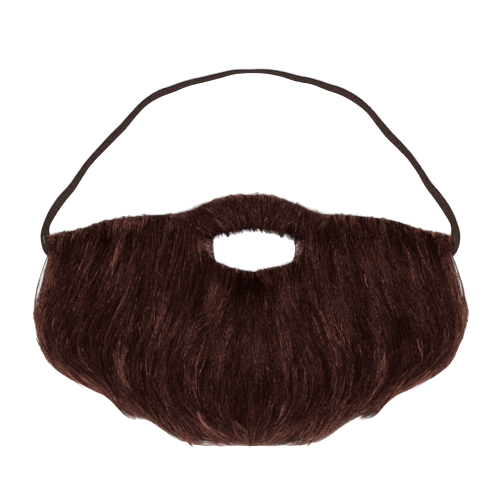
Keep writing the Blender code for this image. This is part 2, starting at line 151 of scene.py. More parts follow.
# Single locks, drawn on the map of strands: points across, along and in shares of the hair's height, width in mm,
# fibres, their thickness in mm, their tone, and whether the right side has the same lock
Lock = namedtuple("Lock", "guide wide fibres thick tone both")
LOCKS = [
    # the loose strands outside a slit of light below each corner
    Lock([(-0.975, 0.07, 0.5), (-0.988, 0.15, 0.5), (-0.997, 0.3, 0.45), (-1.0, 0.45, 0.4), (-1.0, 0.62, 0.4),
          (-0.99, 0.8, 0.4)], 0.9, 100, (0.26, 0.4), 0.75, True),
    # the small tufts that stand off the lower edge
    Lock([(-0.9, 0.955, 0.5), (-0.87, 0.99, 0.6), (-0.83, 1.012, 0.6), (-0.782, 1.034, 0.5)],
         0.8, 70, (0.26, 0.38), 0.5, True),
    Lock([(-0.39, 0.88, 0.6), (-0.355, 0.935, 0.6), (-0.322, 0.975, 0.6), (-0.294, 1.0, 0.6)],
         1.0, 60, (0.24, 0.34), 0.45, True),
    # the lighter wisps inside the lower edge
    Lock([(-0.272, 0.825, 1.05), (-0.255, 0.866, 1.08), (-0.225, 0.902, 1.1), (-0.165, 0.944, 1.04)],
         1.6, 16, (0.2, 0.3), 0.9, False),
    Lock([(-0.165, 0.75, 1.05), (-0.157, 0.8, 1.06), (-0.15, 0.831, 1.08), (-0.125, 0.875, 1.06)],
         1.1, 9, (0.2, 0.3), 0.7, True),
    Lock([(-0.095, 0.82, 1.04), (-0.078, 0.862, 1.06), (-0.057, 0.891, 1.08), (-0.028, 0.918, 1.06)],
         2.4, 12, (0.2, 0.3), 0.72, False),
    # the reddish fibres at the mouth's lower edge
    Lock([(0.03, -0.02, 0.9), (0.042, 0.012, 1.05), (0.056, 0.05, 1.06), (0.068, 0.09, 1.0)],
         3.4, 34, (0.2, 0.34), 0.5, False),
]


def smooth_step(x):
    """0 below 0, 1 above 1, and x^2 (3 - 2x) between them."""
    x = np.clip(x, 0.0, 1.0)
    return x * x * (3.0 - 2.0 * x)


def bell(x, wide):
    """1 at 0, falling on both sides as exp(-(x / wide)^2)."""
    return np.exp(-((x / wide) ** 2))


def between_rows(table, place):
    """The table's row at each place, counted from 0, on a Catmull-Rom curve through the rows."""
    rows = np.array(table, float)
    last = len(rows) - 1
    place = np.clip(np.asarray(place, float), 0, last)
    row = np.minimum(place.astype(int), last - 1)
    t = (place - row).reshape(place.shape + (1,) * (rows.ndim - 1))
    before, here, after, later = (rows[np.clip(row + step, 0, last)] for step in (-1, 0, 1, 2))
    bend = 2 * before - 5 * here + 4 * after - later
    twist = 3 * here - before - 3 * after + later
    return 0.5 * (2 * here + (after - before) * t + bend * t**2 + twist * t**3)


def on_strand(strands, across, along):
    """Where the map's strand passes, the hair's depth there, and the share of it that stands at the root.

    A strand is the quadratic curve root (1-t)^2 + 2 bow t (1-t) + tip t^2, mirrored right of the middle.
    """
    across, along = np.broadcast_arrays(across, along)
    row = between_rows(strands, (1.0 - np.abs(across)) * (len(strands) - 1))
    root, bow, tip = row[..., 0:2], row[..., 2:4], row[..., 4:6]
    t = along[..., None]
    point = (1 - t) ** 2 * root + 2 * t * (1 - t) * bow + t**2 * tip
    side = np.where(across < 0, 1.0, -1.0)
    follow = row[..., 8] * (1 - along) + row[..., 9] * along
    return side * point[..., 0] * MM + follow * MOUTH_SHIFT, point[..., 1] * MM, row[..., 6] * MM, row[..., 7]


def hair_height(hair, across, along):
    """Underside and top of the brushed hair: the underside lies on the net, then on the floor, and is lifted over
    the strap's end. The top stands above it by the depth times a quick rise, a full stretch and a long fall."""
    x, y, depth, at_root = on_strand(hair.strands, across, along)
    low = np.full_like(x, NET_TOP)
    if not hair.on_net_only:
        low *= 1.0 - smooth_step((along - NET_REACH - LAY_DOWN / 2) / LAY_DOWN)
    away = np.hypot(np.abs(x) + STRAP_END[0], y - STRAP_END[1])
    low += STRAP_CLEARANCE * (1.0 - smooth_step((away - STRAP_CLEAR[0]) / (STRAP_CLEAR[1] - STRAP_CLEAR[0])))
    rise = at_root + (1.0 - at_root) * np.sin(np.clip(along / hair.rise, 0.0, 1.0) * np.pi / 2)
    thin = 1.0 - hair.fall * smooth_step((along - hair.fall_from) / (1.0 - hair.fall_from))
    return low, low + FULLNESS * depth * rise * thin


def root_trim(hair, across):
    """How far along the strands the roots lie, as a share: the brushed edge leans out past them by about as much.
    Bells draw in the long hair's inner upper corners, which would stand up too high, and one lets the hair in the
    middle of the mouth's lower edge out."""
    far = np.abs(across)
    if hair is TRIMMED_HAIR:
        return (1.8 + 0.9 * smooth_step((far - 0.2) / 0.4)) / hair.long
    if hair is CORNER_HAIR:
        return np.full_like(far, 3.4 / hair.long)
    if hair is END_HAIR:
        return 1.6 * (1.0 - far) / hair.long
    if hair is MOUTH_CORNER_HAIR:
        return np.zeros_like(far)
    cheek = smooth_step((far - 0.23) / 0.07) * (1.0 - smooth_step((far - 0.9) / 0.08))
    corner = 1.2 * bell(far - 0.37, 0.1) + 2.4 * bell(far - 0.315, 0.022) + 3.2 * bell(far - 0.226, 0.02)
    return (1.8 * cheek + corner - 1.3 * bell(across - 0.065, 0.035)) / hair.long


def tip_trim(across):
    """How much shorter the long hair is than the map's strands, as a share: the lower edge is cut unevenly."""
    return between_rows(TIP_TRIM, np.abs(across) * (len(TIP_TRIM) - 1)) / LONG_HAIR.long


def brushed(hair, across, along):
    """How far outwards a strand that starts at across has drifted by along, as a share of half the beard."""
    drift = between_rows(hair.drift, np.asarray(along) * (len(hair.drift) - 1))
    return drift * between_rows(hair.room, np.abs(across) * (len(hair.room) - 1))


def root_of(hair, across, along):
    """The root across of the brushed strand that passes through a point: across less its drift, by iteration."""
    root = np.abs(across)
    for _ in range(14):
        root = np.clip(0.5 * root + 0.5 * (np.abs(across) - brushed(hair, root, along)), 0.0, 1.0)
    return root * np.where(across < 0, -1.0, 1.0)


def unit(v):
    """Vectors at length 1."""
    return v / np.maximum(np.linalg.norm(v, axis=-1, keepdims=True), 1e-12)


def piece(name, points, triangles, finish, uv=None):
    """A smooth mesh object from arrays of points, triangles and, for each triangle's corners, places in a map."""
    mesh = bpy.data.meshes.new(name)
    mesh.vertices.add(len(points))
    mesh.vertices.foreach_set("co", np.ascontiguousarray(points, np.float32).ravel())
    mesh.loops.add(triangles.size)
    mesh.loops.foreach_set("vertex_index", np.ascontiguousarray(triangles, np.int32).ravel())
    mesh.polygons.add(len(triangles))
    mesh.polygons.foreach_set("loop_start", np.arange(0, triangles.size, 3, dtype=np.int32))
    mesh.update(calc_edges=True)
    if uv is not None:
        mesh.uv_layers.new(name="OFBake").data.foreach_set("uv", np.ascontiguousarray(uv, np.float32).ravel())
    mesh.shade_smooth()
    mesh.materials.append(finish)
    thing = bpy.data.objects.new(name, mesh)
    bpy.context.scene.collection.objects.link(thing)
    return thing


def fibre_tubes(path, thick, tone):
    """Closed three-sided tubes along paths of shape (fibres, rings, 3), each drawn out to a point at its tip.

    A ring's corners are centre + thick / 2 (cos a side + sin a up), with side square to the path and level. In
    the map each fibre fills one column's width of the tone chart, and runs from its root at 0 to its tip at 1.
    """
    fibres, rings, _ = path.shape
    run = unit(np.gradient(path, axis=1))
    side = unit(np.cross(run, (0.0, 0.0, 1.0)))
    up = np.cross(run, side)
    turn = TURN * np.arange(FIBRE_SIDES) / FIBRE_SIDES
    spoke = np.cos(turn)[:, None] * side[:, :, None] + np.sin(turn)[:, None] * up[:, :, None]
    tube = path[:, :, None] + spoke * thick[:, :, None, None] / 2
    points = np.concatenate([tube[:, :-1].reshape(fibres, -1, 3), path[:, -1:]], 1)
    here, after = np.arange(FIBRE_SIDES), (np.arange(FIBRE_SIDES) + 1) % FIBRE_SIDES
    start = (np.arange(rings - 2) * FIBRE_SIDES)[:, None]
    lower = np.stack([start + here, start + after, start + after + FIBRE_SIDES], -1).reshape(-1, 3)
    upper = np.stack([start + here, start + after + FIBRE_SIDES, start + here + FIBRE_SIDES], -1).reshape(-1, 3)
    last, tip = (rings - 2) * FIBRE_SIDES, (rings - 1) * FIBRE_SIDES
    cone = np.stack([last + here, last + after, np.full_like(here, tip)], -1)
    faces = np.concatenate([lower, upper, cone, [[0, 2, 1]]])
    u = np.tile(here, rings - 2)
    v = np.repeat(np.arange(rings - 2), FIBRE_SIDES)
    flat = np.concatenate([
        np.stack([np.stack([u, v], -1), np.stack([u + 1, v], -1), np.stack([u + 1, v + 1], -1)], 1),
        np.stack([np.stack([u, v], -1), np.stack([u + 1, v + 1], -1), np.stack([u, v + 1], -1)], 1),
        [[(j, rings - 2), (j + 1, rings - 2), (j + 0.5, rings - 1)] for j in range(FIBRE_SIDES)],
        [[(0, 0), (2, 0.02), (1, 0.2)]],
    ]).astype(float)
    flat /= (FIBRE_SIDES, rings - 1)
    column = np.floor(np.clip(tone, 0.0, 0.9999) * TONES)
    uv = np.broadcast_to(flat, (fibres, *flat.shape)).copy()
    uv[..., 0] = (column[:, None, None] + 0.15 + 0.7 * uv[..., 0]) / TONES
    uv[..., 1] = 0.01 + 0.98 * uv[..., 1]
    triangles = faces[None] + (np.arange(fibres) * points.shape[1])[:, None, None]
    return points.reshape(-1, 3), triangles.reshape(-1, 3), uv.reshape(-1, 3, 2)


def fibre_tone(hair, across, along, chance):
    """A fibre's place in the tone chart: uneven from fibre to fibre and over streaks, and over soft patches that are
    partly painted shade and painted sheen; painted shade darkens the roots, and painted light makes the thin side
    edges and the tips redder and lighter, as light passing through them. A patch adds its light times exp(-a^2 -
    b^2), where a and b are the distances from its middle in half widths and half heights."""
    far = np.abs(across)
    if hair.on_net_only:
        return (0.17 if hair is CORNER_HAIR else 0.22) + chance.normal(0.0, 0.2, across.shape)
    tone = 0.265 + chance.normal(0.0, 0.12, across.shape)
    tone += 0.05 * np.sin(TURN * (far * 6.7 + along * 0.4)) + 0.04 * np.sin(TURN * (far * 11.3 - along) + 1)
    # painted light at the thin side edges and the tips, as light passing through them
    tone += 0.44 * smooth_step((far - 0.88) / 0.12) + 0.42 * smooth_step((along - 0.925) / 0.085)
    # painted shade in the band of roots
    tone -= 0.18 * bell(along, 0.09)
    x, y, _, _ = on_strand(hair.strands, across, along)
    for place, up, wide, high, light in SHADE_SHEEN_AND_TONE_PATCHES:
        tone += light * np.exp(-(((np.abs(x) / MM - place) / wide) ** 2) - ((y / MM - up) / high) ** 2)
    return tone


def side_room(across, along):
    """Draws the long hair's sides in a little below the corners, where only loose strands lie further out."""
    inset = 0.04 * smooth_step((along - 0.03) / 0.09) * (1.0 - smooth_step((along - 0.36) / 0.2))
    far = np.abs(across)
    return np.where(far > 0.8, np.sign(across) * (0.8 + (far - 0.8) * (0.2 - inset) / 0.2), across)


def strewn_clumps(hair, left, right, clumps, seed):
    """Paths, thicknesses and tones of fibres in clumps, strewn evenly over a hank from left to right.

    A clump's middle comes from an even sequence over the hank. From there it runs both ways along the brushed
    strands. Its fibres lie side by side in it, closer towards its ends, each with its own reach, height, and two
    sine waves across. They come up out of the hair at their roots and sink a little into it at their tips.
    """
    chance = np.random.default_rng(seed)
    number = np.arange(clumps.count)
    middle = left + (right - left) * ((0.5 + number * EVEN_STEPS[0]) % 1.0)
    centre = clumps.band[0] + (clumps.band[1] - clumps.band[0]) * ((0.5 + number * EVEN_STEPS[1]) % 1.0)
    one = lambda low, high: np.repeat(chance.uniform(low, high, clumps.count), clumps.fibres)
    each = lambda low, high: chance.uniform(low, high, clumps.count * clumps.fibres)
    middle, centre = np.repeat(middle, clumps.fibres), np.repeat(centre, clumps.fibres)
    reach = one(*clumps.long) / hair.long
    first = centre - reach * 0.5 + each(-0.15, 0.15) * reach
    last = centre + reach * 0.5 + each(-0.22, 0.12) * reach
    root_line = -ROOT_LEAD / hair.long + root_trim(hair, middle)
    from_root = (first < root_line)[:, None]
    start = np.maximum(first, root_line)
    root = root_of(hair, middle, centre)
    ragged = each(-0.032, 0.006) - tip_trim(np.abs(root) + brushed(hair, root, 1.0))
    if hair.on_net_only:
        ragged = each(-0.03, 0.085) + 0.055 * smooth_step((middle + 0.1) / 0.8)
        ragged += 0.04 * smooth_step(-2.0 * middle - 1.1)
    end = np.minimum(last, 1.0 + ragged)
    step = np.arange(clumps.rings) / (clumps.rings - 1)
    place = 1.0 - (1.0 - step) ** 1.5 if hair.on_net_only else step**1.35
    along = start[:, None] + (end - start)[:, None] * place
    root = root[:, None]
    side = np.where(root < 0, -1.0, 1.0)
    flow = np.clip(np.abs(root) + brushed(hair, root, along), 0.0, 1.0)

    run = (along - centre[:, None]) * hair.long
    offset = np.clip(chance.normal(0.0, 0.42, len(root)), -1.1, 1.1) * one(*clumps.wide)
    loose = smooth_step((end - 0.9) / 0.05)[:, None]
    gather = 1.0 - 0.35 * (1 - loose) * smooth_step((place - 0.35) / 0.65) - 0.2 * (1 - smooth_step(place / 0.3))
    wave = one(0.1, 0.5) * np.sin(TURN * (run / one(20, 50)[:, None] + one(0, 1)[:, None])).T
    frizz = each(0.1, 0.45) * np.sin(TURN * (run / each(8, 20)[:, None] + each(0, 1)[:, None])).T
    stray = (one(-0.09, 0.09) + each(-0.1, 0.1))[:, None] * run
    sideways = offset[:, None] * gather + clumps.unruly * ((wave + frizz).T + stray)
    across = side * flow + sideways / hair.wide

    within = side * np.clip(side * across, 0.001 if hair.parted else -1.0, 1.0)
    beyond = np.clip(side * (across - within) * hair.wide, 0.0 if hair.parted else -1.5, 2.5) * side
    if not hair.on_net_only:
        within = side_room(within, along)
    x, y, _, _ = on_strand(hair.strands, within, along)
    x = x + beyond * MM
    low, top = hair_height(hair, within, np.clip(along, 0.0, 1.0))
    far_end = 0.0 if hair.on_net_only else smooth_step((np.abs(middle) - 0.88) / 0.12)
    near_edge = np.maximum(far_end, smooth_step((end - 0.93) / 0.06))
    layer = 1.0 - np.abs(each(-1, 1)) * 0.85 * near_edge
    emerge = 1.0 - smooth_step(place / 0.22)
    sink = smooth_step((place - 0.8) / 0.2)
    buried = np.where(from_root, 0.0, 1.0) * emerge * 2.2 + sink * each(-0.4, 0.9)[:, None]
    depth = one(0.0, 1.0) ** 1.5 * clumps.deep + each(0.0, 0.5) + 0.35 * offset**2 / 4
    if hair.parted:
        depth += 2.2 * smooth_step((np.abs(middle) - 0.6) / 0.4)
    climb = np.where(from_root & (step == 0), each(0.1, 0.9)[:, None], 1.0)
    z = low + (top - low) * layer[:, None] * climb - (buried + depth[:, None] - 0.5) * MM
    z = np.maximum(z, np.minimum(low, NET_TOP) + FLOOR_GAP)
    path = np.stack([x, y, z], -1)

    # painted highlights: a share of the fibres is painted lighter, as if they caught the light
    painted_highlight = chance.random(len(root)) < PAINTED_HIGHLIGHT_SHARE
    thick = (each(*clumps.thick) * np.where(painted_highlight, 1.25, 1.0))[:, None] * MM * (1.0 - 0.45 * place)
    tone = fibre_tone(hair, middle, centre, chance) + one(-0.1, 0.1) + clumps.light + painted_highlight * each(0.08, 0.32)
    return path, thick, tone


def lumps(hair, across, chance):
    """Random heights from 0 to 1 on a smooth curve over across, a new one every 1.5 mm, as combed hair bunches."""
    return np.clip(between_rows(chance.random(400), 200 + across * hair.wide / 1.5), 0.0, 1.0)


def edge_fuzz(hair, left, right, count, seed):
    """Short fine fibres that stand out of the roots' edge: each starts in the wall of hair over the root line,
    and bends up and outwards, away from the strands, by a quadratic in its length."""
    chance = np.random.default_rng(seed)
    across = chance.uniform(left, right, count)[:, None]
    along = chance.uniform(-0.004, 0.02, count)[:, None] + root_trim(hair, across)
    low, top = hair_height(hair, across, along)
    x, y, _, _ = on_strand(hair.strands, across, along)
    x2, y2, _, _ = on_strand(hair.strands, across, along + 0.02)
    out = unit(np.stack([x - x2, y - y2], -1)[:, 0])
    out = unit(out + chance.normal(0.0, 0.7, out.shape))
    length = chance.uniform(0.8, 2.8, count) * (0.6 + lumps(hair, across[:, 0], chance)) * MM
    bend = chance.normal(0.0, 0.5, (count, 2))
    t = np.linspace(0.0, 1.0, 4)[None, :, None]
    flat = out[:, None] * t + bend[:, None] * t**2 * 0.7
    rise = chance.uniform(-0.1, 0.6, count)
    start = low + (top - low) * chance.uniform(0.3, 1.0, count)[:, None] - 0.4 * MM
    place = np.stack([x, y], -1) - out[:, None] * 0.6 * MM + flat * length[:, None, None]
    z = start + (rise * length)[:, None] * (t[..., 0] - 0.4 * t[..., 0] ** 2)
    path = np.concatenate([place, np.maximum(z, FLOOR_GAP)[..., None]], -1)
    thick = chance.uniform(0.24, 0.38, count)[:, None] * MM * (1.0 - 0.5 * t[..., 0])
    # painted light: the fuzz is painted light red brown, as light passing through its thin fibres
    return path, thick, 0.98 + chance.normal(0.0, 0.14, count)


def root_rolls(hair, left, right, count, seed):
    """Fibres that come out of the wall of hair over the root line, lean out past it and turn back over the top.

    Each has five points: how far they are along the strand is in mm from the root line, and how high they are in
    shares of what is left of the hair's height there. They wander sideways by a normal share of their way.
    """
    chance = np.random.default_rng(seed)
    draw = lambda low, high: chance.uniform(low, high, count)
    start = draw(left, right)
    out = draw(-1.2, 0.5) + 2.0 * lumps(hair, start, chance)
    ways = np.stack([0.6 - out, -out, 0.4 - out, draw(1.5, 4.0) - out, draw(4.0, 11.0)], -1)
    along = ways / hair.long + root_trim(hair, start)[:, None]
    wander = chance.normal(0.0, 1.6, count)[:, None] * (0.0, 0.15, 0.4, 0.75, 1.0)
    across = start[:, None] + wander / hair.wide
    side = -1.0 if right <= 0 else 1.0
    if hair.parted:
        across = side * np.clip(side * across, 0.001, 1.0)
    across = np.clip(across, -1.0, 1.0)
    low, top = hair_height(hair, across, np.maximum(along, 0.0))
    share = draw(0.0, 0.85)[:, None]
    rest = np.array([0.0, 0.35, 0.8, 1.0, 1.0])
    z = low + (top - low) * (share + (1.0 - share) * rest) + np.array([0.0, 0.2, 0.3, 0.4, 0.0]) * MM
    z[:, -1] -= draw(0.0, 1.2) * MM
    z[:, 2:] -= draw(0.0, 0.8)[:, None] * MM
    x, y, _, _ = on_strand(hair.strands, across, along)
    path = np.stack([x, y, np.maximum(z, FLOOR_GAP)], -1)
    thick = draw(0.24, 0.38)[:, None] * MM * (1.0, 1.0, 1.0, 0.9, 0.6)
    # painted light: the further a roll leans out past the root line, the lighter it is, as light passing through its
    # thin fibres
    tone = 0.22 + 0.46 * smooth_step((out + 0.1) / 1.6) + chance.normal(0.0, 0.13, count)
    if not hair.on_net_only:
        # painted shade under the mouth, on the long hair's rolls near the middle
        tone -= 0.12 * (1.0 - smooth_step((np.abs(start) - 0.2) / 0.1))
    # painted highlights on a share of the rolls
    return path, thick, tone + 0.2 * (chance.random(count) < PAINTED_HIGHLIGHT_SHARE)


def rim_fibres(hair, left, right, count, seed):
    """Thin fibres that sweep in along the tips' edge: along rises as 1 - (1-t)^2 while across moves inwards as
    t^1.4, with a small sway that is a sine of t."""
    chance = np.random.default_rng(seed)
    draw = lambda low, high: chance.uniform(low, high, (count, 1))
    start = draw(left, right)
    far = np.abs(start)
    t = np.linspace(0.0, 1.0, 5)
    sweep = draw(0.08, 0.2) * np.minimum(far / 0.14, 1.0) * (1.0 - 0.75 * smooth_step((far - 0.85) / 0.15))
    cut = draw(0.0, 1.0) ** 1.5 * 0.05
    first, last = draw(0.8, 0.97), 1.007 - tip_trim(far - sweep) - cut
    along = first + (last - first) * (1.0 - (1.0 - t) ** 2)
    sway = draw(-0.006, 0.006) * np.sin(TURN * (t * draw(0.6, 1.4) + draw(0, 1)))
    across = start - np.sign(start) * sweep * t**1.4 + sway
    within = np.clip(across, -1.0, 1.0)
    x, y, _, _ = on_strand(hair.strands, within, along)
    low, top = hair_height(hair, within, np.clip(along, 0.0, 1.0))
    z = low + (top - low) * draw(0.3, 1.06) - (1.0 - smooth_step(t / 0.25)) * 1.6 * MM
    path = np.stack([x, y, np.maximum(z, FLOOR_GAP)], -1)
    thick = draw(0.2, 0.32) * MM * (1.0 - 0.5 * t)
    # painted light at the tips: fibres that reach the very edge are painted lighter, as light passing through thin
    # tips
    tone = 0.37 + 0.46 * smooth_step((0.022 - cut[:, 0]) / 0.022)
    return path, thick, tone + chance.normal(0.0, 0.17, count)


def drawn_locks(seed):
    """The single locks: each fibre follows a part of its guide, off it by a normal share of the lock's width."""
    chance = np.random.default_rng(seed)
    parts = []
    for lock in LOCKS:
        count = lock.fibres
        for side in (1.0, -1.0) if lock.both else (1.0,):
            first = chance.uniform(0.0, 0.45, count)
            last = first + chance.uniform(0.4, 0.75, count)
            t = first[:, None] + (np.minimum(last, 1.0) - first)[:, None] * np.linspace(0.0, 1.0, 6)
            guide = between_rows(lock.guide, t * (len(lock.guide) - 1))
            narrow = lock.wide * (1.0 - 0.5 * t)
            off = chance.normal(0.0, 0.45, count)[:, None] * narrow
            off += 0.12 * np.sin(TURN * (t * chance.uniform(0.6, 2.0, (count, 1)) + chance.random((count, 1))))
            across = np.clip(guide[..., 0] * side + off / LONG_HAIR.wide, -1.02, 1.02)
            within = np.clip(across, -1, 1)
            down = guide[..., 1] + chance.normal(0.0, 0.3, (count, 1)) * narrow / LONG_HAIR.long
            low, top = hair_height(LONG_HAIR, within, np.clip(down, 0.0, 1.0))
            x, y, _, _ = on_strand(LONG_HAIR.strands, within, down)
            x = x + (across - within) * LONG_HAIR.wide * MM
            z = low + (top - low) * guide[..., 2] + chance.uniform(-0.6, 0.3, (count, 1)) * MM
            path = np.stack([x, y, np.maximum(z, FLOOR_GAP)], -1)
            thick = chance.uniform(*lock.thick, (count, 1)) * MM * (1.0 - 0.4 * t)
            parts.append((path, thick, lock.tone + chance.normal(0.0, 0.16, count)))
    return [np.concatenate(column) for column in zip(*parts)]


def undercoat(name, hair, left, right, finish):
    """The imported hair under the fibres: a closed grid over the map, 1.7 mm inside the fibres' surface and rounded
    off as a square root within 4 mm of its rim. Its map is across and along, the underside in the lower half."""
    across = np.linspace(left, right, 24)[:, None]
    if not hair.on_net_only:
        across = np.clip(across, -UNDERCOAT_END, UNDERCOAT_END)
    near = 2.4 / hair.long + root_trim(hair, across)
    far = 1.0 - (1.5 if hair.on_net_only else 6.5) / hair.long
    along = near + (far - near) * np.linspace(0.0, 1.0, 24)
    x, y, _, _ = on_strand(hair.strands, across, along)
    low, top = hair_height(hair, across, along)
    rim = np.minimum(np.minimum(along - near, far - along) * hair.long / 4.0, 1.0)
    if not hair.on_net_only:
        rim = np.minimum(rim, (UNDERCOAT_END - np.abs(across)) / 0.04)
    rim = np.sqrt(np.clip(rim, 0.0, 1.0))
    crown = low + 0.3 * MM + np.maximum(top - low - 1.7 * MM, 0.3 * MM) * (0.35 + 0.65 * rim)
    points = np.concatenate([np.stack([x, y, crown], -1), np.stack([x, y, low + 0.1 * MM], -1)]).reshape(-1, 3)
    upper = np.arange(x.size).reshape(x.shape)
    corners = [upper[:-1, :-1], upper[1:, :-1], upper[1:, 1:], upper[:-1, 1:]]
    over = np.concatenate([np.stack([corners[a], corners[b], corners[c]], -1).reshape(-1, 3)
                           for a, b, c in ((0, 1, 2), (0, 2, 3))])
    under = over[:, ::-1] + x.size
    edge = np.concatenate([upper[:, 0], upper[-1, 1:], upper[-2::-1, -1], upper[0, -2:0:-1]])
    beyond = np.roll(edge, -1)
    walls = np.concatenate([np.stack([edge, edge + x.size, beyond + x.size], -1),
                            np.stack([edge, beyond + x.size, beyond], -1)])
    triangles = np.concatenate([over, under, walls])
    grid = np.stack(np.broadcast_arrays((across - left) / (right - left), along), -1).reshape(-1, 2)
    chart = np.concatenate([grid * (1, 0.48) + (0, 0.51), grid * (1, 0.48)])
    return piece(name, points, outward(points, triangles), finish, chart[triangles])


def outward(points, triangles):
    """The triangles turned over if they enclose a negative volume."""
    a, b, c = (points[triangles[:, k]] for k in range(3))
    return triangles if np.einsum("ij,ij->i", a, np.cross(b, c)).sum() > 0 else triangles[:, ::-1]


def colour(code):
    """An sRGB hex code as linear red, green, blue and alpha."""
    value = np.array([int(code[k:k + 2], 16) for k in (0, 2, 4)]) / 255
    linear = np.where(value <= 0.04045, value / 12.92, ((value + 0.055) / 1.055) ** 2.4)
    return (*linear.tolist(), 1.0)


def add_node(tree, kind, sockets, links, stops=(), output=0, **settings):
    """Adds one node, sets its properties, sockets and ramp stops, links its inputs and gives its output."""
    new = tree.nodes.new("ShaderNode" + kind)
    for key, value in settings.items():
        setattr(new, key, value)
    for key, value in sockets.items():
        new.inputs[key].default_value = value
    for key, source in links.items():
        tree.links.new(source, new.inputs[key])
    if stops:
        ramp = new.color_ramp.elements
        while len(ramp) < len(stops):
            ramp.new(0.5)
        for element, (place, code) in zip(ramp, stops):
            element.position = place
            element.color = colour(code)
    return new.outputs[output]


def new_material(name):
    """A material with an empty tree and its Principled shader."""
    finish = bpy.data.materials.new(name)
    finish.use_nodes = True
    return finish, finish.node_tree, finish.node_tree.nodes["Principled BSDF"]


def set_surface(tree, shader, tone, rough, shine, relief=None, strength=0.4, high=0.0):
    """Links the shader's colour, and its relief through a bump, and sets its roughness and its shine."""
    tree.links.new(tone, shader.inputs["Base Color"])
    if relief:
        bump = add_node(tree, "Bump", {"Strength": strength, "Distance": high}, {"Height": relief})
        tree.links.new(bump, shader.inputs["Normal"])
    shader.inputs["Roughness"].default_value = rough
    shader.inputs["Specular IOR Level"].default_value = shine


def hair_fibre():
    """Modacrylic wig fibre, spun, dyed brown, crimped and brushed: painted glints, a noise along its crimps, lighten
    it here and there, and its tones go from painted shade, nearly black, at the roots to painted light, a light red
    brown, at thin tips. The chart's first way is the tone, its second the place from root to tip."""
    finish, tree, shader = new_material("brown modacrylic wig fibre")
    chart = add_node(tree, "UVMap", {}, {}, uv_map="OFBake")
    shades, length = (add_node(tree, "SeparateXYZ", {}, {0: chart}, output=axis) for axis in (0, 1))
    # painted glints: two streaks round a fibre, and 18 crimps from root to tip, so 1 to 3 mm each on most fibres
    stretched = add_node(tree, "Mapping", {"Scale": (170, 18, 1)}, {0: chart})
    glints = add_node(tree, "TexNoise", {"Scale": 1.0, "Detail": 2.0, "Roughness": 0.6}, {"Vector": stretched})
    uneven = add_node(tree, "Math", {1: GLINT, 2: -GLINT / 2}, {0: glints}, operation="MULTIPLY_ADD")
    shade = add_node(tree, "Math", {}, {0: shades, 1: uneven}, operation="ADD")
    # bcbcbc, which is 0.5 linear, leaves a tone as it is: painted shade darkens each fibre's root and painted light
    # lightens its thin tip
    ends = add_node(tree, "ValToRGB", {}, {0: length}, [
        (0.0, "8c8c8c"), (0.3, "bcbcbc"), (0.82, "bcbcbc"), (1.0, "e6e6e6")])
    ended = add_node(tree, "Math", {1: 0.5}, {0: ends, 2: shade}, operation="MULTIPLY_ADD")
    level = add_node(tree, "Math", {1: 0.25}, {0: ended}, operation="SUBTRACT")
    tone = add_node(tree, "ValToRGB", {}, {0: level}, [
        (0.0, "0b0302"), (0.3, "26110f"), (0.5, "3c201d"), (0.7, "593631"), (0.85, "764a40"), (1.0, "a66a59")])
    shader.inputs["IOR"].default_value = 1.49
    set_surface(tree, shader, tone, rough=0.5, shine=0.01)
    return finish


def packed_fibre():
    """The same fibre packed under the brushed hair, nearly black as painted shade, and streaked along."""
    finish, tree, shader = new_material("packed brown fibre, painted shade")
    chart = add_node(tree, "UVMap", {}, {}, uv_map="OFBake")
    # a streak is about 0.7 mm wide and 20 mm long, coarser than one fibre, since fibres stick together in it
    along = add_node(tree, "Mapping", {"Scale": (160, 6, 1)}, {0: chart})
    streak = add_node(tree, "TexNoise", {"Scale": 1.0, "Detail": 4.0}, {"Vector": along})
    # nearly black: painted shade under the brushed hair
    tone = add_node(tree, "ValToRGB", {}, {0: streak}, [(0.3, "0a0302"), (0.7, "1c0b08")])
    set_surface(tree, shader, tone, 0.9, 0.0, streak, 0.5, 0.4 * MM)
    return finish


def stage():
    """A plain white floor, an even white surround, a large soft light above and a weaker one before the beard's
    lower edge, and the camera straight above."""
    bpy.ops.mesh.primitive_plane_add(size=40, location=(0, 0, 0))
    floor = bpy.context.object
    floor.name = "floor"
    finish, _, shader = new_material("matt white paper")
    shader.inputs["Base Color"].default_value = colour("f4f4f4")
    shader.inputs["Roughness"].default_value = 0.9
    floor.data.materials.append(finish)
    world = bpy.data.worlds.new("white surround")
    bpy.context.scene.world = world
    world.use_nodes = True
    world.node_tree.nodes["Background"].inputs[0].default_value = (1, 1, 1, 1)
    world.node_tree.nodes["Background"].inputs[1].default_value = 0.5
    for name, place, size, watts in (("overhead", (0, -0.1, 1.6), 0.9, 40), ("front", (0, -1.3, 1.2), 0.6, 10)):
        light = bpy.data.lights.new(name, "AREA")
        light.size = size
        light.energy = watts
        lamp = bpy.data.objects.new(name, light)
        lamp.location = place
        back = np.array(place, float)
        lamp.rotation_euler = (np.arctan2(np.hypot(*back[:2]) * np.sign(-back[1] or 1), back[2]), 0, 0)
        bpy.context.scene.collection.objects.link(lamp)
    camera = bpy.data.cameras.new("camera")
    camera.lens = 332.3  # from 3 m up, 326 mm of the floor fill the picture's width
    camera.clip_end = 100
    eye = bpy.data.objects.new("camera", camera)
    eye.location = (0, 4.9 * MM, 3.014)
    bpy.context.scene.collection.objects.link(eye)
    bpy.context.scene.camera = eye
    bpy.context.scene.view_settings.view_transform = "Standard"


